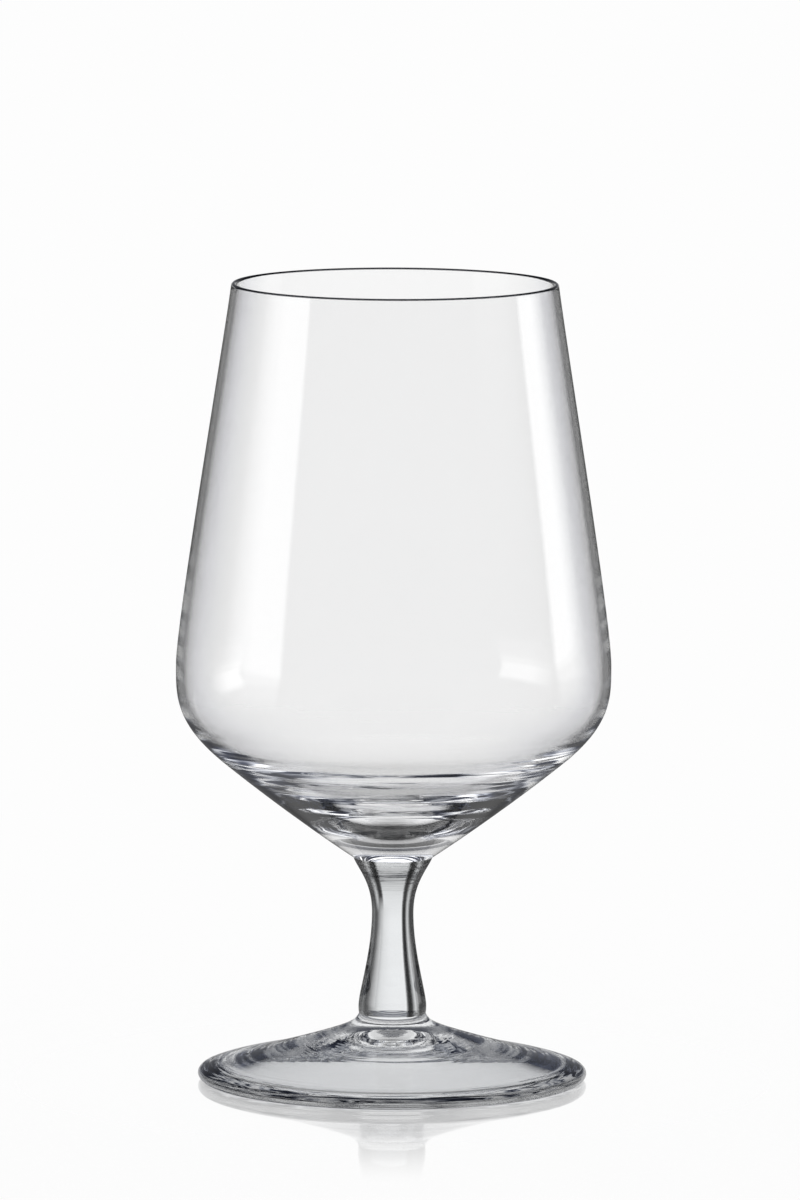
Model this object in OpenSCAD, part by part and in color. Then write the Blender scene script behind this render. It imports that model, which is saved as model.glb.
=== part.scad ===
// Stemmed beer glass: a blown bowl, welded to a pressed stem, welded to a spun foot.
// Each piece is turned about +Z. The origin is the middle of the circle that the foot stands on.

/* [Bowl] */
// Height of the bowl from its weld to the stem up to the rim
bowl_h = 122.3; // [100:0.1:150]
// Diameter across the outside of the rim
rim_d = 69.2; // [60:0.1:80]
// Diameter of the bowl at its widest level
belly_d = 92.2; // [84:0.1:104]
// Height of the widest level above the weld to the stem
belly_up = 41.2; // [34:0.1:52]
// Thickness of the glass at the rim
rim_wall = 1.1; // [0.8:0.05:2]
// Thickness of the glass at the widest level
belly_wall = 1.5; // [1:0.05:3]
// Thickness of the glass at the knee, where the side turns in under the bowl
knee_wall = 2.1; // [1.2:0.05:4]
// Thickness of the glass on the axis, between the stem and the inside of the bowl
base_wall = 8; // [4:0.1:12]

/* [Stem] */
// Height of the stem between its two welds
stem_h = 33.5; // [24:0.1:60]
// Diameter of the weld between the stem and the bowl
neck_d = 16.8; // [12:0.1:22]
// Diameter of the stem at its waist
waist_d = 8.8; // [7:0.1:12]
// Diameter of the swelling just above the foot
swell_d = 14.4; // [14.1:0.1:20]
// Height of the swelling's widest level above the weld to the foot
swell_up = 1.5; // [0.8:0.1:4]
// Diameter of the weld between the stem and the foot
seam_d = 14.1; // [10:0.1:14.4]

/* [Foot] */
// Diameter of the foot
foot_d = 82.6; // [70:0.1:96]
// Height of the weld to the stem above the table
foot_h = 14.2; // [11:0.1:20]
// Height of the foot's rounded edge
edge_h = 2.8; // [2:0.1:4]
// Distance that the rounding of the edge reaches in from the outside
edge_round = 2; // [1:0.1:3]
// Width of the flat ring that the foot stands on
ring_w = 2.8; // [1.5:0.1:6]
// Height of the conical hollow under the middle of the foot
hollow_h = 8; // [1:0.1:9]

/* [Hidden] */

// Facets round a full turn, and steps along each curve of an outline
$fn = 128;
curve_steps = 16;

// The side of the bowl: its lean at the rim as a share of its mean lean, and its curve's handles
side_lean_share = 0.91;
side_rim_share = 0.166;
side_belly_share = 0.11;
// The knee: its place between the weld and the widest level, and its curve's handles
knee_out_share = 0.752;
knee_up_share = 0.514;
knee_belly_share = 0.287;
knee_under_share = 0.573;
// The underside: degrees by which it bows from a straight cone at each end, and its handles
under_bow = 2.9;
under_share = 0.3;
// The well inside the bowl: degrees by which it is flatter than the outside at the knee, how far its
// straight cone runs in, and the flat of its round bottom
well_bow = 4.5;
well_cone_share = 0.4;
well_flat_share = 0.42;

// The stem: the slope of its throat under the bowl, in degrees, and the throat's handles
throat_slope = 70;
throat_neck_share = 0.222;
throat_waist_share = 0.549;
// The waist's place up the stem, and the handles of the shank from the waist down to the swelling
waist_up_share = 0.645;
shank_waist_share = 0.43;
shank_swell_share = 0.155;

// The foot's hub: its slope at the weld, in degrees, and the handles of its flare
hub_slope = 65;
hub_weld_share = 0.124;
hub_skirt_share = 0.83;
// The skirt at the end of the flare: its place between the edge and the weld
skirt_out_share = 0.498;
skirt_up_share = 0.386;
// The apron from the skirt to the edge: degrees by which it bows at each end, and its handles
skirt_bow = 1.6;
lip_bow = 4.9;
apron_skirt_share = 0.568;
apron_lip_share = 0.268;
// The hollow under the foot, which follows the apron: how far it has risen at its outer handle, and
// its handles
hollow_rise_share = 0.46;
hollow_ring_share = 0.4;
hollow_flat_share = 0.25;

// The two welds, each shared by the pieces above and below it
seam = [seam_d / 2, foot_h];
neck = [neck_d / 2, foot_h + stem_h];

// A point at a length and an angle from another, measured from +X towards +Z
function along(p, length, angle) = p + length * [cos(angle), sin(angle)];

// The angle of the line from one point to another
function slope(p, q) = atan2(q.y - p.y, q.x - p.x);

// The point a share t of the way along the cubic curve with ends a and d and handles b and c
function cubic(a, b, c, d, t) =
    pow(1 - t, 3) * a + 3 * pow(1 - t, 2) * t * b + 3 * (1 - t) * pow(t, 2) * c + pow(t, 3) * d;

// The points of that curve after its first one
function curve(a, b, c, d) = [for (i = [1:curve_steps]) cubic(a, b, c, d, i / curve_steps)];

// A point of an ellipse with half axes rx and ry
function on_ellipse(centre, rx, ry, angle) = centre + [rx * cos(angle), ry * sin(angle)];

// The points of an elliptical arc after its first one
function arc(centre, rx, ry, from, to) =
    [for (i = [1:curve_steps]) on_ellipse(centre, rx, ry, from + (to - from) * i / curve_steps)];

// The same points in the opposite order
function reversed(points) = [for (i = [len(points) - 1:-1:0]) points[i]];

// A closed outline, given as radius and height, turned about the axis
module turned(outline) {
    rotate_extrude() polygon(outline);
}

// The bowl: a cone under a knee, a belly, and a side that leans in to a rounded rim
module bowl() {
    belly = neck + [(belly_d - neck_d) / 2, belly_up];
    knee = neck + [knee_out_share * (belly.x - neck.x), knee_up_share * (belly.y - neck.y)];
    under_slope = slope(neck, knee);
    knee_slope = under_slope + under_bow;
    rim_round = rim_wall / 2;
    rim_centre = [rim_d / 2 - rim_round, neck.y + bowl_h - rim_round];
    rim_lean = side_lean_share * (slope(belly, rim_centre + [rim_round, 0]) - 90);

    // The same places on the inside of the glass, and the middle of the round bottom
    belly_in = belly - [belly_wall, 0];
    knee_in = along(knee, knee_wall, knee_slope + 90);
    well_slope = knee_slope - well_bow;
    bottom = [0, neck.y + base_wall];

    // Up the side from the widest level to the rim
    function side(low, high) =
        let (rise = high.y - low.y)
        curve(
            low,
            low + [0, side_belly_share * rise],
            along(high, -side_rim_share * rise, 90 + rim_lean),
            high
        );

    // Up round the knee to the widest level, from the slope of the cone below it
    function bend(low, high, start) =
        let (chord = norm(high - low))
        curve(
            low,
            along(low, knee_under_share * chord, start),
            high - [0, knee_belly_share * chord],
            high
        );

    underside = curve(
        neck,
        along(neck, under_share * norm(knee - neck), under_slope - under_bow),
        along(knee, -under_share * norm(knee - neck), knee_slope),
        knee
    );
    well = curve(
        bottom,
        bottom + [well_flat_share * knee_in.x, 0],
        along(knee_in, -well_cone_share * norm(knee_in - bottom), well_slope),
        knee_in
    );

    color([0.86, 0.9, 0.93, 0.35])
    turned(concat(
        [[0, neck.y], neck],
        underside,
        bend(knee, belly, knee_slope),
        side(belly, along(rim_centre, rim_round, rim_lean)),
        arc(rim_centre, rim_round, rim_round, rim_lean, rim_lean + 180),
        reversed(side(belly_in, along(rim_centre, -rim_round, rim_lean))),
        reversed(bend(knee_in, belly_in, well_slope)),
        reversed(well),
        [bottom]
    ));
}

// The stem: a throat under the bowl, a waist, and a swelling that rounds in to the foot
module stem() {
    swell = [swell_d / 2, seam.y + swell_up];
    waist = [waist_d / 2, seam.y + waist_up_share * stem_h];

    shank = curve(
        swell,
        swell + [0, shank_swell_share * (waist.y - swell.y)],
        waist - [0, shank_waist_share * (waist.y - swell.y)],
        waist
    );
    throat = curve(
        waist,
        waist + [0, throat_waist_share * (neck.y - waist.y)],
        along(neck, -throat_neck_share * (neck.y - waist.y), throat_slope),
        neck
    );

    color([0.82, 0.87, 0.9, 0.5])
    turned(concat(
        [[0, seam.y], seam],
        arc([seam.x, swell.y], swell.x - seam.x, swell_up, -90, 0),
        shank,
        throat,
        [[0, neck.y]]
    ));
}

// The foot: a hub that flares into a low cone, an elliptical edge, and a hollow underneath
module foot() {
    edge_rise = edge_h / 2;
    edge_centre = [foot_d / 2 - edge_round, edge_rise];
    edge_top = edge_centre + [0, edge_rise];
    ring_in = edge_centre.x - ring_w;
    skirt = edge_top + [skirt_out_share * (seam.x - edge_top.x), skirt_up_share * (seam.y - edge_top.y)];
    fall = slope(skirt, edge_top);

    // The place where the edge's ellipse has the slope of the apron's lower end
    lip_angle = atan2(edge_rise * cos(fall - lip_bow), edge_round * sin(lip_bow - fall));
    lip = on_ellipse(edge_centre, edge_round, edge_rise, lip_angle);

    hollow = curve(
        [0, hollow_h],
        [hollow_flat_share * ring_in, hollow_h],
        [(1 - hollow_ring_share) * ring_in, hollow_rise_share * hollow_h],
        [ring_in, 0]
    );
    apron = curve(
        lip,
        along(lip, -apron_lip_share * norm(skirt - lip), fall - lip_bow),
        along(skirt, apron_skirt_share * norm(skirt - lip), fall - skirt_bow),
        skirt
    );
    flare = curve(
        skirt,
        along(skirt, -hub_skirt_share * norm(seam - skirt), fall - skirt_bow),
        along(seam, hub_weld_share * norm(seam - skirt), -hub_slope),
        seam
    );

    color([0.8, 0.84, 0.87, 0.5])
    turned(concat(
        [[0, hollow_h]],
        hollow,
        [[edge_centre.x, 0]],
        arc(edge_centre, edge_round, edge_rise, -90, lip_angle),
        apron,
        flare,
        [[0, seam.y]]
    ));
}

bowl();
stem();
foot();
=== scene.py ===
# %% [markdown]
# # A stemmed beer glass, from profile to picture
#
# The object is one clear drinking glass on a white table: a thin blown bowl, a solid waisted stem and a round
# foot, melted together at two welds. This lesson loads the measured CAD frame, builds the three pieces again
# as fine surfaces, gives each its glass, and sets up the camera, the studio and the table.

# %% Load the frame
import math
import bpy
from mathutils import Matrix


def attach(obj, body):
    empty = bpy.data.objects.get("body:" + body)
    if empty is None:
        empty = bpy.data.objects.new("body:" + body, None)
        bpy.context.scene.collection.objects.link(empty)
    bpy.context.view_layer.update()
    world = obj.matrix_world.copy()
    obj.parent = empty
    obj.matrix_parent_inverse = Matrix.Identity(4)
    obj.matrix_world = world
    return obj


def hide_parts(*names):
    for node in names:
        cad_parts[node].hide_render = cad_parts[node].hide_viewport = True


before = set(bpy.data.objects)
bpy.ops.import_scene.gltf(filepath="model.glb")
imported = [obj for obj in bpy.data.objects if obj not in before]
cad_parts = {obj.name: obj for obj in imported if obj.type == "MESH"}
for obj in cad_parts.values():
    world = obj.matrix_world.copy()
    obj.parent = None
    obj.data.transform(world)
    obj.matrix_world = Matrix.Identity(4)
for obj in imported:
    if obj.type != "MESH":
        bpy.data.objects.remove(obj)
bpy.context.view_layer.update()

from types import SimpleNamespace

import bpy
import numpy as np

MM = 0.001
print("CAD nodes:", sorted(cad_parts))

# %% [markdown]
# ## The camera
#
# A product photographer stands well back with a long lens, so that the rim and the foot are nearly flat
# ellipses. The camera could be placed by eye, but the shapes of those two ellipses and the outline between
# them fix it: two and a half metres away, above the rim, looking down by seven degrees. The real frame was a
# fifth of a degree off level, and a small roll about the line of sight keeps that. The rotation order ZYX
# turns that roll first, so it doesn't swing the camera sideways.

# %% Place the camera
CAMERA_SIDE, CAMERA_BACK, CAMERA_UP = 1.29 * MM, 2460.4 * MM, 411.0 * MM
CAMERA_PITCH, CAMERA_ROLL = 7.144, 0.224
LENS, LONG_SIDE = 351.5, 36.0
NEAR_CLIP, FAR_CLIP = 0.05, 20

camera = bpy.data.objects.new("camera", bpy.data.cameras.new("camera"))
camera.data.lens = LENS
camera.data.sensor_width = LONG_SIDE
camera.data.sensor_fit = "AUTO"
camera.data.clip_start, camera.data.clip_end = NEAR_CLIP, FAR_CLIP
camera.location = CAMERA_SIDE, -CAMERA_BACK, CAMERA_UP
camera.rotation_mode = "ZYX"
camera.rotation_euler = math.radians(90 - CAMERA_PITCH), 0, math.radians(CAMERA_ROLL)
bpy.context.scene.collection.objects.link(camera)
bpy.context.scene.camera = camera
bpy.context.scene.view_settings.view_transform = "Standard"
print("camera at", tuple(round(v, 4) for v in camera.location), "lens", LENS, "mm")

# %% [markdown]
# ## Lines to turn
#
# A glassmaker turns every piece of stemware, on the pipe or in a spinning mould, so each piece is one outline
# turned about the upright axis. An outline could be drawn by hand as a Bezier curve with a Screw modifier.
# Here it is worked out with numpy, because then every curve is set by a few sizes that someone could measure
# on the glass, and the CAD model and this picture can share them. All outline points are (radius, height) in
# millimetres.

# %% Sizes of the glass, as in the CAD model
BOWL_H, RIM_D, BELLY_D, BELLY_UP = 122.3, 69.2, 92.2, 41.2
RIM_WALL, BELLY_WALL, KNEE_WALL, BASE_WALL = 1.1, 1.5, 2.1, 8.0
STEM_H, NECK_D, WAIST_D, SWELL_D, SWELL_UP, SEAM_D = 33.5, 16.8, 8.8, 14.4, 1.5, 14.1
FOOT_D, FOOT_H, EDGE_H, EDGE_ROUND, RING_W, HOLLOW_H = 82.6, 14.2, 2.8, 2.0, 2.8, 8.0

SEAM = np.array([SEAM_D / 2, FOOT_H])
NECK = np.array([NECK_D / 2, FOOT_H + STEM_H])
print("welds at", SEAM, "and", NECK, "mm; rim at", round(NECK[1] + BOWL_H, 2), "mm")


# %% Points along lines
def along(p, length, angle):
    """The point p + length (cos angle, sin angle), with the angle in degrees from outwards towards up."""
    a = math.radians(angle)
    return np.asarray(p, float) + length * np.array([math.cos(a), math.sin(a)])


def slope(p, q):
    """The angle in degrees of the line from p to q: the arc tangent of rise over run."""
    return math.degrees(math.atan2(q[1] - p[1], q[0] - p[0]))


def span(p, q):
    """The distance between two points: the root of run squared plus rise squared."""
    return float(np.hypot(*(np.asarray(q, float) - np.asarray(p, float))))


# %% Points along curves
def curve(a, b, c, d, steps):
    """Points of the cubic (1-t)^3 a + 3(1-t)^2 t b + 3(1-t) t^2 c + t^3 d, for t in equal steps after 0."""
    t = np.linspace(0, 1, steps + 1)[1:, None]
    a, b, c, d = (np.asarray(p, float) for p in (a, b, c, d))
    return (1 - t) ** 3 * a + 3 * (1 - t) ** 2 * t * b + 3 * (1 - t) * t**2 * c + t**3 * d


def arc(centre, rx, ry, start, end, steps):
    """Points centre + (rx cos v, ry sin v) of an ellipse, for v in equal steps after start, in degrees."""
    v = np.radians(np.linspace(start, end, steps + 1)[1:])
    return np.asarray(centre, float) + np.stack([rx * np.cos(v), ry * np.sin(v)], 1)


# %% [markdown]
# ## Turning an outline into a surface
#
# A turned surface is a grid: one direction runs along the outline, the other round the axis. Blender's Spin
# tool or a Screw modifier would make it too, but they leave doubled points on the axis. The grid here is
# worked out whole, the two points on the axis become poles closed by fans of triangles, and the outline runs
# so that the glass is on its left, which makes every face point outwards. Glass needs that, because light
# bends one way going in and the other way coming out. 320 steps round keep the silhouette within three
# thousandths of a millimetre of a true circle.

# %% Points and faces of a turned grid
TURN_STEPS = 320


def turned_points(outline):
    """The point (r, z) at the angle v is (r cos v, r sin v, z). Rings of points first, then the two poles."""
    v = 2 * math.pi * np.arange(TURN_STEPS) / TURN_STEPS
    r, z = outline[1:-1, 0][:, None], outline[1:-1, 1][:, None]
    rings = np.stack([r * np.cos(v), r * np.sin(v), z + 0 * v], 2).reshape(-1, 3)
    poles = np.array([[0, 0, outline[0, 1]], [0, 0, outline[-1, 1]]])
    return np.concatenate([rings, poles]) * MM


def turned_faces(rings):
    """Quads between neighbouring rings i and i + 1, from step j to j + 1, and a fan round each pole."""
    n = TURN_STEPS
    i, j = (grid.ravel() for grid in np.meshgrid(np.arange(rings - 1), np.arange(n), indexing="ij"))
    k = (j + 1) % n
    quads = np.stack([i * n + j, i * n + k, (i + 1) * n + k, (i + 1) * n + j], 1)
    j = np.arange(n)
    k = (j + 1) % n
    first = np.stack([np.full(n, rings * n), k, j], 1)
    last = np.stack([(rings - 1) * n + j, (rings - 1) * n + k, np.full(n, rings * n + 1)], 1)
    return quads, first, last


# %% From arrays to a mesh
def mesh_of(name, points, quads, fans):
    """One smooth mesh from an array of points, the quads and the fans of triangles."""
    corners = np.concatenate([quads.ravel()] + [fan.ravel() for fan in fans]).astype(np.int32)
    counts = np.concatenate([np.full(len(quads), 4)] + [np.full(len(fan), 3) for fan in fans])
    starts = np.concatenate([[0], np.cumsum(counts)[:-1]]).astype(np.int32)
    mesh = bpy.data.meshes.new(name)
    mesh.vertices.add(len(points))
    mesh.vertices.foreach_set("co", points.ravel().astype(np.float32))
    mesh.loops.add(len(corners))
    mesh.loops.foreach_set("vertex_index", corners)
    mesh.polygons.add(len(counts))
    mesh.polygons.foreach_set("loop_start", starts)
    mesh.update(calc_edges=True)
    mesh.validate()
    mesh.shade_smooth()
    return mesh


def crease(mesh, rings, corners):
    """Breaks the smooth shading along the rings at those outline points, where the real glass has a corner."""
    ends = np.empty(2 * len(mesh.edges), np.int32)
    mesh.edges.foreach_get("vertices", ends)
    ring = np.where(ends < rings * TURN_STEPS, ends // TURN_STEPS, -1 - ends).reshape(-1, 2)
    sharp = (ring[:, 0] == ring[:, 1]) & np.isin(ring[:, 0], np.array(corners) - 1)
    mesh.attributes.new("sharp_edge", "BOOLEAN", "EDGE").data.foreach_set("value", sharp)
    return int(sharp.sum())


# %% A turned piece
def turned(name, outline, corners):
    """The closed surface of revolution of an outline that starts and ends on the axis, as an object."""
    rings = len(outline) - 2
    quads, first, last = turned_faces(rings)
    mesh = mesh_of(name, turned_points(outline), quads, (first, last))
    creased = crease(mesh, rings, corners)
    piece = bpy.data.objects.new(name, mesh)
    bpy.context.scene.collection.objects.link(piece)
    triangles = 2 * len(quads) + len(first) + len(last)
    print(f"{name}: {len(outline)} outline points, {triangles} triangles, {creased} creased edges")
    return piece


# %% [markdown]
# ## The bowl
#
# The real bowl is blown into a turned mould. Its side leans in from a belly low down to the rim, bends round a
# knee, and runs in as a cone to the weld with the stem. The glass is 1.1 mm thick at the rim, 1.5 mm at the
# belly and 2.1 mm at the knee, and it collects in the bottom, where it is 8 mm thick. A Solidify modifier
# would give one thickness everywhere, so the inside gets its own curves here. First come the places that the
# curves join.

# %% Places on the bowl
KNEE_OUT, KNEE_RISE = 0.752, 0.514
UNDER_BOW, WELL_BOW = 2.9, 4.5
SIDE_LEAN = 0.91

belly = NECK + [(BELLY_D - NECK_D) / 2, BELLY_UP]
knee = NECK + [KNEE_OUT * (belly[0] - NECK[0]), KNEE_RISE * (belly[1] - NECK[1])]
under_slope = slope(NECK, knee)
knee_slope = under_slope + UNDER_BOW
rim_round = RIM_WALL / 2
rim_centre = np.array([RIM_D / 2 - rim_round, NECK[1] + BOWL_H - rim_round])
rim_lean = SIDE_LEAN * (slope(belly, rim_centre + [rim_round, 0]) - 90)
belly_in = belly - [BELLY_WALL, 0]
knee_in = along(knee, KNEE_WALL, knee_slope + 90)
well_slope = knee_slope - WELL_BOW
bottom = np.array([0, NECK[1] + BASE_WALL])
print("belly", belly, "knee", knee.round(2), "rim leans", round(rim_lean, 2), "degrees")

# %% Curves of the bowl
SIDE_BELLY, SIDE_RIM = 0.11, 0.166
BEND_UNDER, BEND_BELLY = 0.573, 0.287
UNDER_HANDLE = 0.3
WELL_FLAT, WELL_CONE = 0.42, 0.4
UNDER_STEPS, BEND_STEPS, SIDE_STEPS, RIM_STEPS, WELL_STEPS = 36, 40, 44, 24, 60


def side(low, high):
    """Up the side: a cubic that leaves the widest level upright and reaches the rim at the rim's lean."""
    rise = high[1] - low[1]
    handle = along(high, -SIDE_RIM * rise, 90 + rim_lean)
    return curve(low, low + [0, SIDE_BELLY * rise], handle, high, SIDE_STEPS)


def bend(low, high, start):
    """Round the knee: a cubic that leaves the cone at its slope and reaches the widest level upright."""
    chord = span(low, high)
    return curve(low, along(low, BEND_UNDER * chord, start), high - [0, BEND_BELLY * chord], high, BEND_STEPS)


reach = UNDER_HANDLE * span(NECK, knee)
underside = curve(
    NECK, along(NECK, reach, under_slope - UNDER_BOW), along(knee, -reach, knee_slope), knee, UNDER_STEPS
)
cone = along(knee_in, -WELL_CONE * span(knee_in, bottom), well_slope)
well = curve(bottom, bottom + [WELL_FLAT * knee_in[0], 0], cone, knee_in, WELL_STEPS)
print("cone", round(under_slope, 2), "degrees outside,", round(well_slope, 2), "at the knee inside")

# %% Turn the bowl
outside = [
    [[0, NECK[1]], NECK],
    underside,
    bend(knee, belly, knee_slope),
    side(belly, along(rim_centre, rim_round, rim_lean)),
]
rim = arc(rim_centre, rim_round, rim_round, rim_lean, rim_lean + 180, RIM_STEPS)
inside = [
    side(belly_in, along(rim_centre, -rim_round, rim_lean))[::-1][1:],
    bend(knee_in, belly_in, well_slope)[::-1],
    well[::-1],
    [bottom],
]
bowl_outline = np.concatenate([*outside, rim, *inside])
bowl = turned("glass_bowl", bowl_outline, corners=(1,))

# %% [markdown]
# The finest rings are in the inside of the lower bowl, where the mould doesn't touch the glass. An attribute
# tells the material which side of the wall a point is on: 0 outside, and 1 from the top of the rim inwards.

# %% Mark the inside of the bowl
first_inside = sum(len(part) for part in outside) + RIM_STEPS // 2
share = np.zeros(len(bowl.data.vertices), np.float32)
share[(first_inside - 1) * TURN_STEPS : (len(bowl_outline) - 2) * TURN_STEPS] = 1
share[-1] = 1
bowl.data.attributes.new("inside", "FLOAT", "POINT").data.foreach_set("value", share)
print("points on the inside:", int(share.sum()), "of", len(share))

# %% [markdown]
# ## The stem
#
# The stem is solid, pressed or drawn from its own gather of glass. From the foot it has a swelling that rounds
# in to the lower weld, a shank that narrows to a waist two thirds of the way up, and a throat that opens to the
# bowl. A cylinder with scaled loops would show its rings as kinks in the highlights, so the shank and the
# throat are two cubics that share an upright tangent at the waist.

# %% Turn the stem
WAIST_RISE, SHANK_SWELL, SHANK_WAIST = 0.645, 0.155, 0.43
THROAT_WAIST, THROAT_NECK, THROAT_SLOPE = 0.549, 0.222, 70
SWELL_STEPS, SHANK_STEPS, THROAT_STEPS = 24, 80, 60

swell = np.array([SWELL_D / 2, SEAM[1] + SWELL_UP])
waist = np.array([WAIST_D / 2, SEAM[1] + WAIST_RISE * STEM_H])
shank_rise, throat_rise = waist[1] - swell[1], NECK[1] - waist[1]
rounding = arc([SEAM[0], swell[1]], swell[0] - SEAM[0], SWELL_UP, -90, 0, SWELL_STEPS)
shank = curve(
    swell, swell + [0, SHANK_SWELL * shank_rise], waist - [0, SHANK_WAIST * shank_rise], waist, SHANK_STEPS
)
mouth = along(NECK, -THROAT_NECK * throat_rise, THROAT_SLOPE)
throat = curve(waist, waist + [0, THROAT_WAIST * throat_rise], mouth, NECK, THROAT_STEPS)
stem_outline = np.concatenate([[[0, SEAM[1]], SEAM], rounding, shank, throat, [[0, NECK[1]]]])
stem = turned("glass_stem", stem_outline, corners=(1, len(stem_outline) - 2))

# %% [markdown]
# ## The foot
#
# The foot is a hub that flares into a low cone with a rounded edge. It stands on a flat ring 2.8 mm wide, and
# inside the ring a conical hollow follows the cone above it, as in feet that are pressed with a plunger. The
# hollow can't be seen directly, but it bends what is seen through the foot, so it needs the same care as the
# top. Again all of it is one outline.

# %% Places on the foot
SKIRT_OUT, SKIRT_RISE = 0.498, 0.386
SKIRT_BOW, LIP_BOW = 1.6, 4.9

edge_rise = EDGE_H / 2
edge_centre = np.array([FOOT_D / 2 - EDGE_ROUND, edge_rise])
edge_top = edge_centre + [0, edge_rise]
ring_in = edge_centre[0] - RING_W
skirt = edge_top + [SKIRT_OUT * (SEAM[0] - edge_top[0]), SKIRT_RISE * (SEAM[1] - edge_top[1])]
fall = slope(skirt, edge_top)
lip_fall = math.radians(LIP_BOW - fall)
lip_angle = math.degrees(math.atan2(edge_rise * math.cos(lip_fall), EDGE_ROUND * math.sin(lip_fall)))
lip = arc(edge_centre, EDGE_ROUND, edge_rise, 0, lip_angle, 1)[0]
print("skirt", skirt.round(2), "lip", lip.round(2), "apron falls", round(-fall, 2), "degrees")

# %% Turn the foot
HOLLOW_FLAT, HOLLOW_RING, HOLLOW_RISE = 0.25, 0.4, 0.46
APRON_LIP, APRON_SKIRT = 0.268, 0.568
HUB_SKIRT, HUB_WELD, HUB_SLOPE = 0.83, 0.124, 65
HOLLOW_STEPS, EDGE_STEPS, APRON_STEPS, HUB_STEPS = 60, 40, 60, 80

hollow = curve(
    [0, HOLLOW_H],
    [HOLLOW_FLAT * ring_in, HOLLOW_H],
    [(1 - HOLLOW_RING) * ring_in, HOLLOW_RISE * HOLLOW_H],
    [ring_in, 0],
    HOLLOW_STEPS,
)
edge = arc(edge_centre, EDGE_ROUND, edge_rise, -90, lip_angle, EDGE_STEPS)
apron = curve(
    lip,
    along(lip, -APRON_LIP * span(skirt, lip), fall - LIP_BOW),
    along(skirt, APRON_SKIRT * span(skirt, lip), fall - SKIRT_BOW),
    skirt,
    APRON_STEPS,
)
hub = curve(
    skirt,
    along(skirt, -HUB_SKIRT * span(SEAM, skirt), fall - SKIRT_BOW),
    along(SEAM, HUB_WELD * span(SEAM, skirt), -HUB_SLOPE),
    SEAM,
    HUB_STEPS,
)
underneath = [[[0, HOLLOW_H]], hollow, [[edge_centre[0], 0]]]
foot_outline = np.concatenate([*underneath, edge, apron, hub, [[0, SEAM[1]]]])
foot = turned("glass_foot", foot_outline, corners=(HOLLOW_STEPS, HOLLOW_STEPS + 1, len(foot_outline) - 2))

# %% [markdown]
# ## Tools for materials
#
# The next cells hold small helpers, so that a material reads as what it does and not as rows of sockets. Each
# adds one or two nodes and gives back the socket that the next node reads.

# %% Materials and links
WHITE = 0.983


def new_material(name):
    """An empty node material, its node tree and its output node."""
    material = bpy.data.materials.new(name)
    material.use_nodes = True
    tree = material.node_tree
    tree.nodes.clear()
    return material, tree, tree.nodes.new("ShaderNodeOutputMaterial")


def put(socket, value):
    """Links a socket into an input, or sets a number or a colour on it."""
    if isinstance(value, bpy.types.NodeSocket):
        socket.id_data.links.new(value, socket)
    elif socket.type == "RGBA":
        socket.default_value = (*value, 1)
    else:
        socket.default_value = value


def maths(tree, kind, a, b=0.0, c=0.5):
    """One Math node: kind is ADD, SUBTRACT, MULTIPLY and so on, and c counts only where it takes three."""
    node = tree.nodes.new("ShaderNodeMath")
    node.operation = kind
    for socket, value in zip(node.inputs, (a, b, c)):
        put(socket, value)
    return node.outputs[0]


def times(tree, *values):
    """The product of two or more masks."""
    product = values[0]
    for value in values[1:]:
        product = maths(tree, "MULTIPLY", product, value)
    return product


def step_up(tree, value, low, high, smooth=True):
    """0 up to low and 1 from high on, rising between them. With low above high it falls instead."""
    node = tree.nodes.new("ShaderNodeMapRange")
    node.interpolation_type = "SMOOTHSTEP" if smooth else "LINEAR"
    put(node.inputs["Value"], value)
    node.inputs["From Min"].default_value = min(low, high)
    node.inputs["From Max"].default_value = max(low, high)
    node.inputs["To Min"].default_value = 0.0 if low < high else 1.0
    node.inputs["To Max"].default_value = 1.0 if low < high else 0.0
    return node.outputs["Result"]


# %% Mixes and ramps
FACTOR, FLOAT_A, FLOAT_B, COLOUR_A, COLOUR_B = 0, 2, 3, 6, 7
FLOAT_RESULT, COLOUR_RESULT = 0, 2
NEW_STOP = 0.5  # where a ramp's stop starts, before it is moved to its place


def choose(tree, mask, off, on):
    """The number off (1 - mask) + on mask."""
    node = tree.nodes.new("ShaderNodeMix")
    node.data_type = "FLOAT"
    for place, value in ((FACTOR, mask), (FLOAT_A, off), (FLOAT_B, on)):
        put(node.inputs[place], value)
    return node.outputs[FLOAT_RESULT]


def blend(tree, mask, off, on, kind="MIX"):
    """The colour off (1 - mask) + on mask, or with kind MULTIPLY or ADD their product or sum by that mask."""
    node = tree.nodes.new("ShaderNodeMix")
    node.data_type, node.blend_type = "RGBA", kind
    for place, value in ((FACTOR, mask), (COLOUR_A, off), (COLOUR_B, on)):
        put(node.inputs[place], value)
    return node.outputs[COLOUR_RESULT]


def ramp(tree, source, stops):
    """A Color Ramp fed by source. stops are (position from 0 to 1, grey or colour)."""
    node = tree.nodes.new("ShaderNodeValToRGB")
    put(node.inputs["Fac"], source)
    band = node.color_ramp
    while len(band.elements) < len(stops):
        band.elements.new(NEW_STOP)
    for element, (place, colour) in zip(band.elements, stops):
        element.position = place
        element.color = (*((colour,) * 3 if np.isscalar(colour) else colour), 1)
    return node.outputs["Color"]


# %% Places on a piece
def apart(tree, place):
    """The three coordinates of a place."""
    node = tree.nodes.new("ShaderNodeSeparateXYZ")
    put(node.inputs[0], place)
    return node.outputs["X"], node.outputs["Y"], node.outputs["Z"]


def vector_maths(tree, kind, a, b=(0, 0, 0)):
    """One Vector Math node."""
    node = tree.nodes.new("ShaderNodeVectorMath")
    node.operation = kind
    put(node.inputs[0], a)
    put(node.inputs[1], b)
    return node.outputs["Value" if kind == "LENGTH" else "Vector"]


def from_axis(tree, place):
    """The distance from the upright axis: the length of (x, y, 0)."""
    return vector_maths(tree, "LENGTH", vector_maths(tree, "MULTIPLY", place, (1, 1, 0)))


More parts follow.
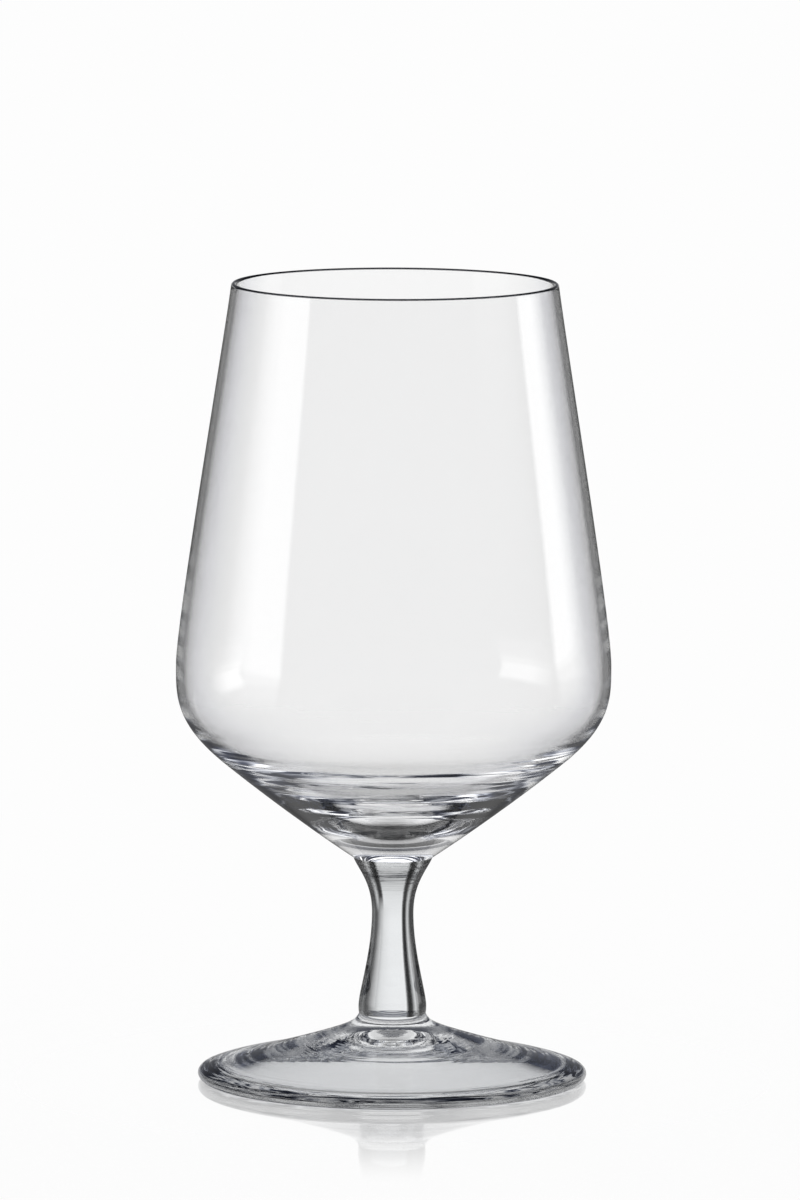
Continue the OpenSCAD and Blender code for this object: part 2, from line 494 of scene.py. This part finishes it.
def by_place(tree, value, stops):
    """A level that follows a height or a distance. stops are (millimetres, level)."""
    low, high = stops[0][0], stops[-1][0]
    share = step_up(tree, value, low * MM, high * MM, smooth=False)
    return ramp(tree, share, [((mm - low) / (high - low), level) for mm, level in stops])


# %% [markdown]
# ## Rings in the glass
#
# Glass that was turned while soft keeps fine rings round its axis: the lower bowl, the throat and the foot all
# show them as streaks of light. Real grooves in the mesh would need many times the faces, so they are a noise
# that is stretched round the axis: it varies quickly up or outwards, and slowly across. A stretch is how often
# the noise varies in a metre, in each of these ways. All three pieces use it, so it is a node group, first the
# stretched place and then the height for a Bump node.

# %% The rings' groups
def new_group(name, inputs, output):
    """An empty node group, and its two end nodes. inputs and output are (name, socket type)."""
    group = bpy.data.node_groups.new(name, "ShaderNodeTree")
    for title, kind in inputs:
        group.interface.new_socket(title, in_out="INPUT", socket_type=kind)
    group.interface.new_socket(output[0], in_out="OUTPUT", socket_type=output[1])
    return group, group.nodes.new("NodeGroupInput").outputs, group.nodes.new("NodeGroupOutput").inputs[0]


def use_group(tree, group, **values):
    """Places a group in a tree, with its inputs set or linked by name."""
    node = tree.nodes.new("ShaderNodeGroup")
    node.node_tree = group
    for title, value in values.items():
        put(node.inputs[title], value)
    return node.outputs[0]


STRETCH = [("Across", "NodeSocketFloat"), ("Up", "NodeSocketFloat"), ("Out", "NodeSocketFloat")]
RING_INPUTS = [("Place", "NodeSocketVector"), *STRETCH, ("Mask", "NodeSocketFloat")]

ring_place, given, result = new_group(
    "ring_place", [("Place", "NodeSocketVector"), *STRETCH], ("Vector", "NodeSocketVector")
)
x, y, z = apart(ring_place, given["Place"])
stretched = ring_place.nodes.new("ShaderNodeCombineXYZ")
put(stretched.inputs["X"], times(ring_place, x, given["Across"]))
put(stretched.inputs["Y"], times(ring_place, y, given["Across"]))
upwards = times(ring_place, z, given["Up"])
outwards = times(ring_place, from_axis(ring_place, given["Place"]), given["Out"])
put(stretched.inputs["Z"], maths(ring_place, "ADD", upwards, outwards))
put(result, stretched.outputs[0])
print("group ring_place:", len(ring_place.nodes), "nodes")


# %% Noise in rings, as a height
RING_DETAIL = 1.5


def ring_noise(group, given, detail):
    """Noise on the stretched place. detail is how many finer copies are added to it."""
    noise = group.nodes.new("ShaderNodeTexNoise")
    noise.inputs["Scale"].default_value = 1
    noise.inputs["Detail"].default_value = detail
    place = {title: given[title] for title in ("Place", "Across", "Up", "Out")}
    put(noise.inputs["Vector"], use_group(group, ring_place, **place))
    return noise.outputs["Fac"]


rings_in_glass, given, result = new_group("rings_in_the_glass", RING_INPUTS, ("Height", "NodeSocketFloat"))
put(result, times(rings_in_glass, ring_noise(rings_in_glass, given, RING_DETAIL), given["Mask"]))
print("group rings_in_the_glass:", len(rings_in_glass.nodes), "nodes")

# %% [markdown]
# ## Light caught in the glass
#
# In thick glass light is mirrored to and fro many times before it leaves, and that is what makes the lower
# bowl and the edge of the foot sparkle with white and navy streaks. A render follows only a few reflections
# and calls the rest black. This group gives painted light in place of it, the same rings coloured from navy to
# white, and the glass glows with it only where a ray has already been mirrored five times.

# %% The caught light's group
NAVY, DUSK, SILVER, BRIGHT = (0.006, 0.008, 0.018), (0.04, 0.047, 0.075), (0.5, 0.52, 0.57), (1, 1, 1)
CAUGHT = [(0.4, NAVY), (0.475, DUSK), (0.53, SILVER), (0.59, BRIGHT)]
STREAK_DETAIL = 2

caught_light, given, result = new_group("caught_light", RING_INPUTS, ("Color", "NodeSocketColor"))
# Painted light: navy to white streaks that the glass gives out as a glow
painted_light_streaks = ramp(caught_light, ring_noise(caught_light, given, STREAK_DETAIL), CAUGHT)
put(result, blend(caught_light, 1.0, painted_light_streaks, given["Mask"], kind="MULTIPLY"))
print("group caught_light:", len(caught_light.nodes), "nodes")

# %% [markdown]
# ## Clear glass
#
# Clear glass has no colour of its own: it shows what stands round it, bent and mirrored. Here that is a white
# background, with the dark studio beside and above it, and the glass looks darker where its surface turns away
# from the viewer, because there it is crossed at a slant and gathers light from the dark sides. A plain glass
# shader under a white world would look like a faint shadow. The shader here is a Principled BSDF with full
# transmission, and that darkening is painted shade in its base colour: a Layer Weight node darkens the light
# that goes in by how far the surface turns away. The last cell of this step lets lamplight through to the
# table, in place of the black shadow that a solid would cast.

# %% Start a glass
GLASS_IOR = 1.5
EVEN = 0.5


def start_glass(name):
    """A glass shader, with the places on the piece that its patterns read."""
    material, tree, out = new_material(name)
    shader = tree.nodes.new("ShaderNodeBsdfPrincipled")
    shader.inputs["Roughness"].default_value = 0
    shader.inputs["IOR"].default_value = GLASS_IOR
    shader.inputs["Transmission Weight"].default_value = 1
    place = tree.nodes.new("ShaderNodeTexCoord").outputs["Object"]
    right, _, up = apart(tree, place)
    return SimpleNamespace(
        material=material, tree=tree, end=out, shader=shader, place=place, right=right, up=up,
        outwards=from_axis(tree, place), path=tree.nodes.new("ShaderNodeLightPath"),
    )


def turned_away(glass, normal=None):
    """0 where the surface faces the viewer and 1 at its outline: 1 - cosine of the angle between them."""
    node = glass.tree.nodes.new("ShaderNodeLayerWeight")
    node.inputs["Blend"].default_value = EVEN
    if normal:
        put(node.inputs["Normal"], normal)
    return node.outputs["Facing"]


def ripple(glass, depth, mask, across, up=0, out=0):
    """Fine rings that bend what the glass shows: depth in metres where mask is 1. Gives the bent normal."""
    height = use_group(
        glass.tree, rings_in_glass, Place=glass.place, Across=across, Up=up, Out=out, Mask=mask
    )
    bump = glass.tree.nodes.new("ShaderNodeBump")
    bump.inputs["Distance"].default_value = depth
    put(bump.inputs["Height"], height)
    put(glass.shader.inputs["Normal"], bump.outputs["Normal"])
    return bump.outputs["Normal"]


# %% Colour going in, light caught, lamplight through
LAST_MIRROR = 4.5
LAMPLIGHT = 0.93, 0.94, 0.945


def going_in(glass, colour):
    """That colour where light enters the glass, and white where it leaves, so that it counts once a wall."""
    leaving = glass.tree.nodes.new("ShaderNodeNewGeometry").outputs["Backfacing"]
    return blend(glass.tree, leaving, colour, (1, 1, 1))


def catch_light(glass, strength, mask, across, up=0, out=0):
    """Makes the glass glow with painted light where a ray has been mirrored too often to be followed."""
    unfollowed = maths(glass.tree, "GREATER_THAN", glass.path.outputs["Glossy Depth"], LAST_MIRROR)
    last = times(glass.tree, unfollowed, mask)
    light = use_group(glass.tree, caught_light, Place=glass.place, Across=across, Up=up, Out=out, Mask=last)
    put(glass.shader.inputs["Emission Color"], light)
    glass.shader.inputs["Emission Strength"].default_value = strength


def finish_glass(glass, colour):
    """Sets the colour, and lets lamplight through by making the glass plainly clear to shadow rays."""
    put(glass.shader.inputs["Base Color"], colour)
    clear = glass.tree.nodes.new("ShaderNodeBsdfTransparent")
    put(clear.inputs["Color"], LAMPLIGHT)
    both = glass.tree.nodes.new("ShaderNodeMixShader")
    put(both.inputs[0], glass.path.outputs["Is Shadow Ray"])
    put(both.inputs[1], glass.shader.outputs["BSDF"])
    put(both.inputs[2], clear.outputs["BSDF"])
    put(glass.end.inputs["Surface"], both.outputs["Shader"])
    print(glass.material.name, "has", len(glass.tree.nodes), "nodes")
    return glass.material


# %% [markdown]
# ## The bowl's glass
#
# The side of the bowl is thin and stays clear nearly to its outline, where painted shade, darker as the
# surface turns away, draws a dark line along the shape. The fire-polished rim gets a fine painted dark line
# too. In the thick bottom a dark ring is painted low down by height, with a bright crescent under it. A thin
# bright line parts the ring from a painted dark lobe on each side, and above the lobes painted shade turns
# the glass grey. All of this is seen only through the outside of the wall. The rings on the inside are
# deepest in the lower cone and fade out above the knee. The levels follow the height in millimetres.

# %% The bowl's levels
# Painted shade: the colour darkens as the surface turns away, in place of the dark sides seen at a slant.
BOWL_EDGE_SHADE = [
    (0, 1), (0.4, (1, 1, 1)), (0.48, (0.99, 0.995, 1)), (0.58, (0.97, 0.975, 1)),
    (0.68, (0.93, 0.93, 0.96)), (0.8, 0.85), (0.88, 0.42), (0.94, 0.12), (1, 0.004),
]
BOWL_RINGS = [(70, 1), (76.5, 0)]
BOWL_RING_DEPTH, BOWL_RING_STRETCH = 0.4 * MM, {"across": 25, "up": 480}
BOWL_CAUGHT = [
    (48, 1), (53, 1), (54.5, 0.4), (58, 0.4), (61, 0.7), (66, 1), (70, 0.9), (100, 0.8), (120, 0),
]
BOWL_CAUGHT_STRENGTH, BOWL_CAUGHT_STRETCH = 1.8, {"across": 30, "up": 330}
# Painted shade by height: a dark ring low in the bottom, and grey shade above it.
BASE_PAINTED_SHADE = [
    (47.7, 1), (52.8, 1), (53.8, 0.03), (57.4, 0.01), (58.8, 1), (63.5, 0.85), (65, 0.37), (67, 0.4),
    (68.7, 1), (69.6, 0.9), (70.7, 0.7), (72.6, 0.66), (74.4, 0.8), (76.3, 0.89), (79, 1),
]
BASE_RISE, BASE_FRONT, BASE_SIDES = 2.2 * MM, 0.53, 0.62
# Painted shade: a dark lobe on each side of the bottom, by height and by how far the surface turns away.
PAINTED_LOBE_HEIGHTS = [(60.2, 0), (60.9, 1), (62.8, 1), (63.8, 0)]
PAINTED_LOBE_RISES, PAINTED_LOBE_FALLS = (0.535, 0.57), (0.82, 0.77)
PAINTED_LOBE_DARK, BLACK, RIM_PAINTED_SHADE = (0.0002, 0.0003, 0.0008), (0, 0, 0), (0.003, 0.003, 0.004)
# A painted dark line round the top of the rim, by height.
RIM_PAINTED_LINE = 169.55 * MM, 169.7 * MM

# %% Mix the bowl's glass
glass = start_glass("clear_glass_bowl")
tree = glass.tree
within = tree.nodes.new("ShaderNodeAttribute")
within.attribute_name = "inside"
within = within.outputs["Fac"]
ring_mask = times(tree, by_place(tree, glass.up, BOWL_RINGS), within)
normal = ripple(glass, BOWL_RING_DEPTH, ring_mask, **BOWL_RING_STRETCH)
away = turned_away(glass, normal)
# Painted shade towards the outline, by how far the surface turns away
colour = ramp(tree, away, BOWL_EDGE_SHADE)

# The painted dark ring sits higher towards the sides, as it does behind the curve of the cone
sunk = times(tree, step_up(tree, away, BASE_FRONT, BASE_SIDES), BASE_RISE)
with_painted_ring = blend(tree, by_place(tree, maths(tree, "SUBTRACT", glass.up, sunk), BASE_PAINTED_SHADE), BLACK, colour)
colour = blend(tree, within, with_painted_ring, colour)
# Painted dark lobes, only on the outside of the wall
painted_dark_lobes = times(
    tree,
    step_up(tree, away, *PAINTED_LOBE_RISES),
    step_up(tree, away, *PAINTED_LOBE_FALLS),
    maths(tree, "SUBTRACT", 1.0, within),
    by_place(tree, glass.up, PAINTED_LOBE_HEIGHTS),
)
colour = going_in(glass, blend(tree, painted_dark_lobes, colour, PAINTED_LOBE_DARK))
# The painted dark line on the rim
colour = blend(tree, step_up(tree, glass.up, *RIM_PAINTED_LINE), colour, RIM_PAINTED_SHADE)
catch_light(glass, BOWL_CAUGHT_STRENGTH, by_place(tree, glass.up, BOWL_CAUGHT), **BOWL_CAUGHT_STRETCH)
bowl_glass = finish_glass(glass, colour)

# %% [markdown]
# ## The stem's glass
#
# A solid stem is a strong lens: its middle shows the bright background, and its sides show the dark studio.
# Here the dark bands down both sides, with a thin bright line between them, are painted shade in the colour,
# by how far the surface turns away. They are painted darker and crisper on the right of the shank than on the
# left, and alike in the throat. The two sides blend across the middle, where both are clear. A normal with its
# upright part taken out keeps the bands the same width from the foot up to the throat, where the surface
# flares. Painted shade by height darkens the throat as well.

# %% The stem's levels
# Painted shade: dark bands and a thin bright line, by how far the surface turns away, right and left.
RIGHT_PAINTED_BANDS = [
    (0, 1), (0.098, 1), (0.12, 0.06), (0.14, 0.002), (0.185, 0.001), (0.215, 0.01), (0.255, 0.25),
    (0.29, 0.56), (0.33, 0.25), (0.4, 0.01), (0.47, 0.004), (0.6, 0.006), (1, 0.01),
]
LEFT_PAINTED_BANDS = [
    (0, 1), (0.1, 0.72), (0.14, 0.46), (0.2, 0.25), (0.25, 0.11), (0.32, 0.02), (0.41, 0.01),
    (0.48, 0.026), (0.54, 0.058), (0.62, 0.026), (0.72, 0.03), (1, 0.01),
]
MIDDLE = 1.2 * MM
THROAT_START, THROAT_ALIKE = 36 * MM, 40 * MM
STEM_RINGS = [(36, 0), (42, 1)]
STEM_RING_DEPTH, STEM_RING_STRETCH = 0.2 * MM, {"across": 60, "up": 1500}
STEM_SHADE = [(14, 1), (35, 1), (39, 0.8), (44, 0.45), (47.7, 0.6)]
# An even cool grey that dims the whole stem.
STEM_TINT = 0.78, 0.81, 0.83
STEM_CAUGHT = [(36, 0.5), (41, 0.3)]
STEM_CAUGHT_STRENGTH, STEM_CAUGHT_STRETCH = 1.0, {"across": 60, "up": 600}

# %% Mix the stem's glass
glass = start_glass("clear_glass_stem")
tree = glass.tree
normal = ripple(glass, STEM_RING_DEPTH, by_place(tree, glass.up, STEM_RINGS), **STEM_RING_STRETCH)
level_normal = vector_maths(tree, "NORMALIZE", vector_maths(tree, "MULTIPLY", normal, (1, 1, 0)))
away = turned_away(glass, level_normal)
on_right = step_up(tree, glass.right, -MIDDLE, MIDDLE)
alike = maths(tree, "MAXIMUM", on_right, step_up(tree, glass.up, THROAT_START, THROAT_ALIKE))
# Painted bands of shade down the sides of the stem
colour = blend(tree, alike, ramp(tree, away, LEFT_PAINTED_BANDS), ramp(tree, away, RIGHT_PAINTED_BANDS))
# Painted shade by height, darkest in the throat
colour = blend(tree, by_place(tree, glass.up, STEM_SHADE), BLACK, colour)
colour = going_in(glass, blend(tree, 1.0, colour, STEM_TINT, kind="MULTIPLY"))
catch_light(glass, STEM_CAUGHT_STRENGTH, by_place(tree, glass.up, STEM_CAUGHT), **STEM_CAUGHT_STRETCH)
stem_glass = finish_glass(glass, colour)

# %% [markdown]
# ## The foot's glass
#
# Looking down on the foot, its front shows the table almost clearly, with a painted dark ring just inside the
# edge. Its flanks and ends are seen at a slant, and there the colour is painted with navy and bright streaks of
# light and shade, and darkened towards the outline. The rings are strongest round the hub and at the edge, and
# on every part that turns far away.

# %% The foot's levels
# Painted shade: the colour darkens towards the foot's outline, by how far the surface turns away.
FOOT_EDGE_SHADE = [(0, 1), (0.78, 1), (0.82, 0.4), (0.86, 0.06), (0.92, 0.01), (1, 0.003)]
FOOT_RINGS = [(7, 0.6), (17, 0.6), (21, 0.1), (32, 0.1), (37, 1), (42, 1)]
FOOT_RING_DEPTH, FOOT_RING_STRETCH = 0.1 * MM, {"across": 30, "out": 700}
SLANT_STARTS, SLANT_FULL, SLANT_RINGS = 0.76, 0.86, 3.0
FLANK_STARTS, FLANK_FULL = 0.72, 0.77
FLANK_STRETCH = {"Across": 20, "Up": 0, "Out": 420}
# FOOT_SHADE paints a dark ring just inside the edge, by distance from the axis.
FOOT_SHADE = [
    (0, 1), (36, 1), (37.7, 0.8), (38.2, 0.2), (38.6, 0.2), (39.1, 1), (40.1, 1), (40.6, 0.4), (41.3, 0.3),
]
# An even cool tint that dims the foot a little.
FOOT_TINT = 0.92, 0.94, 0.96
FOOT_CAUGHT = [(7, 0.6), (17, 0.6), (30, 0.5), (39, 0.4), (41, 0.5)]
FOOT_CAUGHT_STRENGTH, FOOT_CAUGHT_STRETCH = 1.0, {"across": 40, "out": 500}

# %% Mix the foot's glass
glass = start_glass("clear_glass_foot")
tree = glass.tree
plain_away = turned_away(glass)
slanted = step_up(tree, plain_away, SLANT_STARTS, SLANT_FULL)
ring_mask = choose(tree, slanted, by_place(tree, glass.outwards, FOOT_RINGS), SLANT_RINGS)
normal = ripple(glass, FOOT_RING_DEPTH, ring_mask, **FOOT_RING_STRETCH)
colour = ramp(tree, turned_away(glass, normal), FOOT_EDGE_SHADE)
colour = blend(tree, by_place(tree, glass.outwards, FOOT_SHADE), BLACK, colour)
# Painted light and shade: navy and bright streaks on the slanted flanks
painted_light_streaks = use_group(tree, caught_light, Place=glass.place, **FLANK_STRETCH, Mask=1.0)
colour = blend(tree, step_up(tree, plain_away, FLANK_STARTS, FLANK_FULL), colour, painted_light_streaks)
colour = going_in(glass, blend(tree, 1.0, colour, FOOT_TINT, kind="MULTIPLY"))
caught = by_place(tree, glass.outwards, FOOT_CAUGHT)
catch_light(glass, FOOT_CAUGHT_STRENGTH, caught, **FOOT_CAUGHT_STRETCH)
foot_glass = finish_glass(glass, colour)

# %% [markdown]
# ## The welds
#
# The pieces are melted into one another, so inside the glass there is no surface at a weld and nothing to
# see. Two closed meshes that meet would show two mirrors there. The flat faces at the welds get a second
# material, which is simply transparent, and light goes on from one piece to the next.

# %% Dress the pieces
weld, weld_tree, weld_end = new_material("weld_inside")
put(weld_end.inputs["Surface"], weld_tree.nodes.new("ShaderNodeBsdfTransparent").outputs["BSDF"])
FLAT = 0.999
SAME_LEVEL = 0.001


def weld_faces(piece, height):
    """Gives the second material to the flat faces at that height, in millimetres."""
    faces = piece.data.polygons
    centres, normals = np.empty((2, 3 * len(faces)), np.float32)
    faces.foreach_get("center", centres)
    faces.foreach_get("normal", normals)
    heights, upright = centres[2::3] / MM, abs(normals[2::3])
    slots = np.empty(len(faces), np.int32)
    faces.foreach_get("material_index", slots)
    welded = (abs(heights - height) < SAME_LEVEL) & (upright > FLAT)
    slots[welded] = 1
    faces.foreach_set("material_index", slots)
    piece.data.update()
    print(piece.name, "has", int(welded.sum()), "weld faces at", round(height, 2), "mm")


for piece, node, material, welds in (
    (bowl, "bowl", bowl_glass, (NECK,)),
    (stem, "stem", stem_glass, (NECK, SEAM)),
    (foot, "foot", foot_glass, (SEAM,)),
):
    piece.data.materials.append(material)
    piece.data.materials.append(weld)
    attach(piece, "root")
    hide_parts(node)
    for place in welds:
        weld_faces(piece, place[1])

# %% [markdown]
# ## The studio
#
# The photograph was made before a white background, in a dark room with a tall soft box on each side of the
# camera. Lamps and cards could be built as objects, but they would stand in the way of other views. The
# studio is painted on the world instead, by direction. What the camera sees is plain white. What is mirrored
# once in the glass is the white window behind, the dark sides, the soft boxes with a sharp inner edge, and a
# darker ceiling. What is seen through the glass is white, fading to a dark ceiling. A surface that mirrors
# softly, such as the table, sees plain white. The world lights objects at a plain grey level.

# %% Directions in the studio
world = bpy.data.worlds.new("studio")
world.use_nodes = True
bpy.context.scene.world = world
tree = world.node_tree
tree.nodes.clear()
HALF = 0.5


def all_round(tree, east, north):
    """The way round as 0 to 1: half a turn behind counts as 0 and 1, straight ahead as a half."""
    return maths(tree, "MULTIPLY_ADD", maths(tree, "ARCTAN2", east, north), HALF / math.pi, HALF)


x, y, z = apart(tree, tree.nodes.new("ShaderNodeTexCoord").outputs["Generated"])
elevation = maths(tree, "MULTIPLY_ADD", maths(tree, "ARCSINE", z), 1 / math.pi, HALF)
azimuth = all_round(tree, x, y)
path = tree.nodes.new("ShaderNodeLightPath")


def by_elevation(stops):
    """A level by height above the horizon. stops are (degrees, level)."""
    return ramp(tree, elevation, [((degrees + 90) / 180, level) for degrees, level in stops])


def round_stops(stops):
    """Stops in degrees, with 0 behind the glass and 90 on its right, as places on a ramp from 0 to 1."""
    return [((degrees + 180) / 360, level) for degrees, level in stops]


print("studio set up by elevation and azimuth")

# %% What the glass mirrors
ROOM, SIDES, CEILING, WINDOW = (0.15, 0.15, 0.155), (0.03, 0.03, 0.04), (0.06, 0.065, 0.08), (WHITE,) * 3
WALLS = [
    (-180, ROOM), (-112, ROOM), (-76, SIDES), (-30, SIDES), (-26, WINDOW),
    (26, WINDOW), (30, SIDES), (60, SIDES), (84, ROOM), (180, ROOM),
]
CEILING_STARTS = [(-90, 0), (-1, 0), (4, 0.85), (20, 1)]
BOXES = [(-117.4, 0), (-116.8, 1), (-97, 1), (-85, 0.45), (-76, 0), (54, 0), (70, 1), (83.6, 1), (84.2, 0)]
BOX_HEIGHTS = [(-6, 0.55), (0, 1), (14, 1), (20, 0)]
BOX_STRENGTH = 1.7

room = blend(tree, by_elevation(CEILING_STARTS), ramp(tree, azimuth, round_stops(WALLS)), CEILING)
boxes = times(tree, ramp(tree, azimuth, round_stops(BOXES)), by_elevation(BOX_HEIGHTS), BOX_STRENGTH)
mirrored = blend(tree, 1.0, room, boxes, kind="ADD")
print("soft boxes from", BOXES[0][0], "to", BOXES[4][0], "and from", BOXES[5][0], "to", BOXES[-1][0], "degrees")

# %% What is seen where
SEEN_THROUGH = [(-20, WHITE), (9, WHITE), (20, 0.85), (40, 0.7), (60, 0.4), (75, 0.15), (80, 0.1)]
PLAIN_LIGHT = 0.6, 0.6, 0.6
ONE, NEARLY = 1.0, 0.25


def mirrored_once(tree, path):
    """1 where a ray has been mirrored exactly once."""
    return maths(tree, "COMPARE", path.outputs["Glossy Depth"], ONE, NEARLY)


seen = blend(tree, mirrored_once(tree, path), by_elevation(SEEN_THROUGH), mirrored)
soft = maths(tree, "SUBTRACT", 1.0, path.outputs["Is Singular Ray"])
satin = times(tree, path.outputs["Is Glossy Ray"], soft)
seen = blend(tree, satin, seen, WINDOW)
seen = blend(tree, path.outputs["Is Camera Ray"], seen, WINDOW)
looking = maths(tree, "MAXIMUM", path.outputs["Is Camera Ray"], path.outputs["Is Glossy Ray"])
looking = maths(tree, "MAXIMUM", looking, path.outputs["Is Transmission Ray"])
background = tree.nodes.new("ShaderNodeBackground")
put(background.inputs["Color"], blend(tree, looking, PLAIN_LIGHT, seen))
put(tree.nodes.new("ShaderNodeOutputWorld").inputs["Surface"], background.outputs["Background"])
print("world has", len(tree.nodes), "nodes")

# %% [markdown]
# ## The table
#
# The glass stands on a white glossy table that melts into the background. It keeps a soft grey shadow, and a
# reflection of the foot and the stem that fades out nine centimetres from the foot. A white floor lit by lamps
# would need to be overexposed to match the background, so most of its white is its own colour, given out at
# just under 1. Near the glass a sixth of it comes from a matt surface under a lamp, so that the shadow shows,
# and a nearly smooth mirror is mixed in and fades with distance. Mirrored in the glass the table is dark, as a
# real one is outside the light, and farther off it glows with painted light from the soft boxes.

# %% The table's surface
TABLE_HALF, TABLE_DROP = 6, 0.05 * MM
quarters = (-1, -1), (1, -1), (1, 1), (-1, 1)
corners = [(east * TABLE_HALF, north * TABLE_HALF, 0) for east, north in quarters]
table_mesh = bpy.data.meshes.new("table_top")
table_mesh.from_pydata(corners, [], [(0, 1, 2, 3)])
table = bpy.data.objects.new("table_top", table_mesh)
table.location.z = -TABLE_DROP
bpy.context.scene.collection.objects.link(table)
print("table", 2 * TABLE_HALF, "m wide")

# %% How bright the table looks
MATT_SHARE, MATT_MIRRORED = 0.16, 0.03
MATT_ENDS, MATT_FULL = 0.4, 0.15
DARK_TABLE = 0.12
BOX_LIGHT_STARTS, BOX_LIGHT_FULL = 0.25, 1.1

material, tree, end = new_material("white_table")
place = tree.nodes.new("ShaderNodeTexCoord").outputs["Object"]
x, y, _ = apart(tree, place)
distance = vector_maths(tree, "LENGTH", place)
once = mirrored_once(tree, tree.nodes.new("ShaderNodeLightPath"))
near = step_up(tree, distance, MATT_ENDS, MATT_FULL)
# Painted light: as the glass mirrors it, the table glows towards the soft boxes, farther from the glass
lights = ramp(tree, all_round(tree, x, y), round_stops(BOXES))
lights = times(tree, lights, step_up(tree, distance, BOX_LIGHT_STARTS, BOX_LIGHT_FULL, smooth=False))
white = maths(tree, "SUBTRACT", WHITE, times(tree, near, MATT_SHARE))
glow = tree.nodes.new("ShaderNodeEmission")
put(glow.inputs["Color"], (1, 1, 1))
put(glow.inputs["Strength"], choose(tree, once, white, maths(tree, "ADD", DARK_TABLE, lights)))
matt = tree.nodes.new("ShaderNodeBsdfDiffuse")
grey = tree.nodes.new("ShaderNodeCombineColor")
for socket in grey.inputs[:3]:
    put(socket, times(tree, near, choose(tree, once, MATT_SHARE, MATT_MIRRORED)))
put(matt.inputs["Color"], grey.outputs[0])

# %% The table's reflection
MIRROR_ROUGHNESS = 0.03
MIRROR_ENDS, MIRROR_FULL = 0.13, 0.041
FOOT_REACH = 0.037, 0.039
MIRROR_UNDER, MIRROR_BESIDE = 0.2, 0.55

lit = tree.nodes.new("ShaderNodeAddShader")
put(lit.inputs[0], glow.outputs[0])
put(lit.inputs[1], matt.outputs[0])
shine = tree.nodes.new("ShaderNodeBsdfGlossy")
shine.inputs["Roughness"].default_value = MIRROR_ROUGHNESS
put(shine.inputs["Color"], (1, 1, 1))
fading = step_up(tree, distance, MIRROR_ENDS, MIRROR_FULL)
strength = choose(tree, step_up(tree, distance, *FOOT_REACH), MIRROR_UNDER, MIRROR_BESIDE)
mixed = tree.nodes.new("ShaderNodeMixShader")
put(mixed.inputs[0], times(tree, fading, strength))
put(mixed.inputs[1], lit.outputs[0])
put(mixed.inputs[2], shine.outputs[0])
put(end.inputs["Surface"], mixed.outputs[0])
table_mesh.materials.append(material)
print("white_table has", len(tree.nodes), "nodes")

# %% [markdown]
# ## One lamp
#
# A wide soft lamp hangs over the table and a little behind the glass, so its shadow is faint and lies under the
# foot and towards the camera. The glass mustn't mirror it, because the studio is already painted on the world,
# so it is hidden from mirrored rays and from rays that go through glass.

# %% Hang the lamp
LAMP_PLACE, LAMP_SIZE, LAMP_WATTS = (0, 0.3, 1.6), 1.2, 12

lamp = bpy.data.objects.new("overhead_lamp", bpy.data.lights.new("overhead_lamp", "AREA"))
lamp.data.size = LAMP_SIZE
lamp.data.energy = LAMP_WATTS
lamp.location = LAMP_PLACE
lamp.rotation_euler = -math.atan2(LAMP_PLACE[1], LAMP_PLACE[2]), 0, 0
lamp.visible_camera = lamp.visible_glossy = lamp.visible_transmission = False
bpy.context.scene.collection.objects.link(lamp)
print("lamp at", LAMP_PLACE, "with", LAMP_WATTS, "W")
